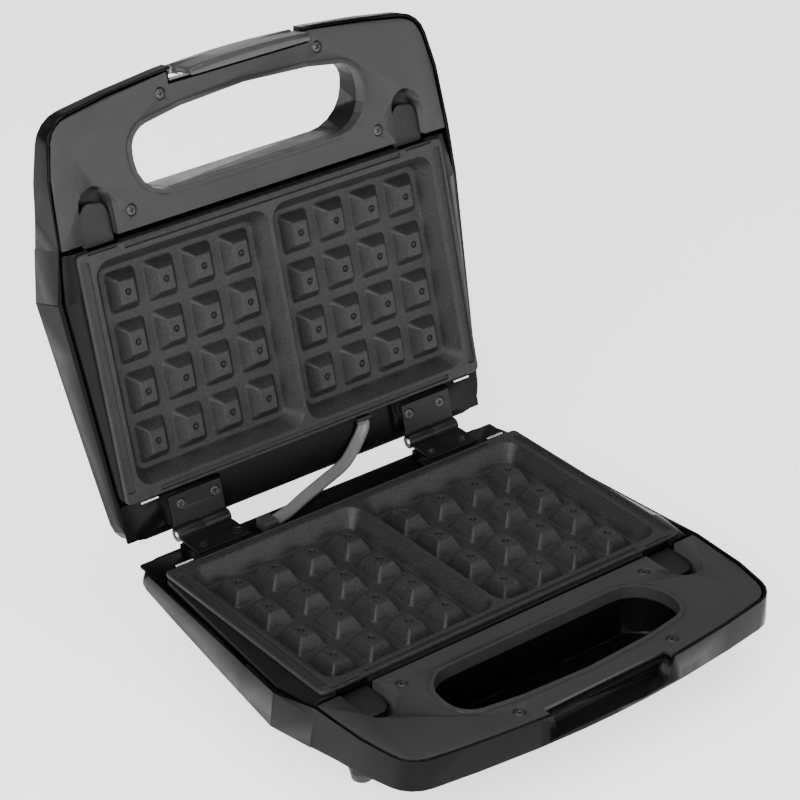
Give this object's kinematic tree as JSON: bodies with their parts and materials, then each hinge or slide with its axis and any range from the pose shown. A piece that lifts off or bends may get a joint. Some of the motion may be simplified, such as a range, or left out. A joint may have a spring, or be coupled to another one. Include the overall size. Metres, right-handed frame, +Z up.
{
  "type": "waffle maker",
  "caption": "Two-slice waffle maker standing open, with a hinged lid, removable pegged plates, release buttons, a front latch and grip openings in both handles.",
  "frame": {"origin": "on the surface the feet stand on, under the middle of the open appliance's box", "axes": "+Z up, -Y towards the handles, +X to the right as seen from the handle side"},
  "size_m": [0.2684, 0.3264, 0.29],
  "materials": {
    "shell_black": "satin",
    "panel_black": "matte",
    "frame_black": "satin",
    "plate_coating": "matte non-stick coating",
    "button_black": "matte",
    "latch_grey": "satin",
    "hinge_black": "matte",
    "screw_black": "black oxide",
    "bright_steel": "bright",
    "spring_steel": "bright",
    "element_steel": "heat-darkened",
    "reflector_steel": "bright",
    "cable_grey": "matte",
    "rubber_black": "matte",
    "ceramic_white": "matte",
    "lens_red": "gloss",
    "lens_green": "gloss"
  },
  "bodies": {
    "base": {"base_shell": "shell_black", "base_handle_panel": "panel_black", "base_plate_frame": "frame_black", "base_heating_element": "element_steel", "base_heat_reflector": "reflector_steel", "base_plate_clip_left": "bright_steel", "base_button_spring_left": "spring_steel", "base_hinge_leaf_left": "hinge_black", "base_plate_clip_right": "bright_steel", "base_button_spring_right": "spring_steel", "base_hinge_leaf_right": "hinge_black", "base_handle_screw_1": "screw_black", "base_hinge_screw_1": "screw_black", "base_handle_screw_2": "screw_black", "base_hinge_screw_2": "screw_black", "base_handle_screw_3": "screw_black", "base_hinge_screw_3": "screw_black", "base_handle_screw_4": "screw_black", "base_hinge_screw_4": "screw_black", "hinge_pin_left": "bright_steel", "hinge_pin_right": "bright_steel", "foot_front_left": "rubber_black", "foot_front_right": "rubber_black", "foot_rear_left": "rubber_black", "foot_rear_right": "rubber_black", "base_cable_gland": "rubber_black", "cord_inlet": "rubber_black", "link_cable": "cable_grey", "thermostat": "ceramic_white"},
    "lid": {"lid_shell": "shell_black", "lid_handle_panel": "panel_black", "lid_plate_frame": "frame_black", "lid_heating_element": "element_steel", "lid_heat_reflector": "reflector_steel", "lid_plate_clip_left": "bright_steel", "lid_button_spring_left": "spring_steel", "lid_hinge_leaf_left": "hinge_black", "lid_plate_clip_right": "bright_steel", "lid_button_spring_right": "spring_steel", "lid_hinge_leaf_right": "hinge_black", "lid_handle_screw_1": "screw_black", "lid_hinge_screw_1": "screw_black", "lid_handle_screw_2": "screw_black", "lid_hinge_screw_2": "screw_black", "lid_handle_screw_3": "screw_black", "lid_hinge_screw_3": "screw_black", "lid_handle_screw_4": "screw_black", "lid_hinge_screw_4": "screw_black", "latch_pin": "bright_steel", "latch_spring": "spring_steel", "lid_cable_gland": "rubber_black", "power_lens": "lens_red", "ready_lens": "lens_green"},
    "base_plate": {"base_waffle_plate": "plate_coating"},
    "base_button_left": {"base_button_left": "button_black"},
    "base_button_right": {"base_button_right": "button_black"},
    "lid_plate": {"lid_waffle_plate": "plate_coating"},
    "lid_button_left": {"lid_button_left": "button_black"},
    "lid_button_right": {"lid_button_right": "button_black"},
    "latch": {"lid_latch": "latch_grey"}
  },
  "joints": [
    {"name": "lid_hinge", "type": "hinge", "parent": "base", "child": "lid", "pos_m": [0, 0.08197, 0.0535], "axis": [-1, 0, 0], "range_deg": [-105.46, 0], "deforming": ["link_cable"]},
    {"name": "latch_pivot", "type": "hinge", "parent": "lid", "child": "latch", "pos_m": [0, 0.15422, 0.28284], "axis": [-1, 0, 0], "range_deg": [0, 20], "stiffness_Nm_per_rad": 0.15, "deforming": ["latch_spring"]},
    {"name": "base_plate_lift", "type": "slide", "parent": "base", "child": "base_plate", "axis": [0, 0, 1], "range_m": [0, 0.03]},
    {"name": "lid_plate_lift", "type": "slide", "parent": "lid", "child": "lid_plate", "axis": [0, -0.9638, 0.2666], "range_m": [0, 0.03]},
    {"name": "base_button_left_slide", "type": "slide", "parent": "base", "child": "base_button_left", "axis": [0, -1, 0], "range_m": [0, 0.005], "stiffness_N_per_m": 400, "deforming": ["base_button_spring_left"]},
    {"name": "base_button_right_slide", "type": "slide", "parent": "base", "child": "base_button_right", "axis": [0, -1, 0], "range_m": [0, 0.005], "stiffness_N_per_m": 400, "deforming": ["base_button_spring_right"]},
    {"name": "lid_button_left_slide", "type": "slide", "parent": "lid", "child": "lid_button_left", "axis": [0, 0.2666, 0.9638], "range_m": [0, 0.005], "stiffness_N_per_m": 400, "deforming": ["lid_button_spring_left"]},
    {"name": "lid_button_right_slide", "type": "slide", "parent": "lid", "child": "lid_button_right", "axis": [0, 0.2666, 0.9638], "range_m": [0, 0.005], "stiffness_N_per_m": 400, "deforming": ["lid_button_spring_right"]}
  ]
}
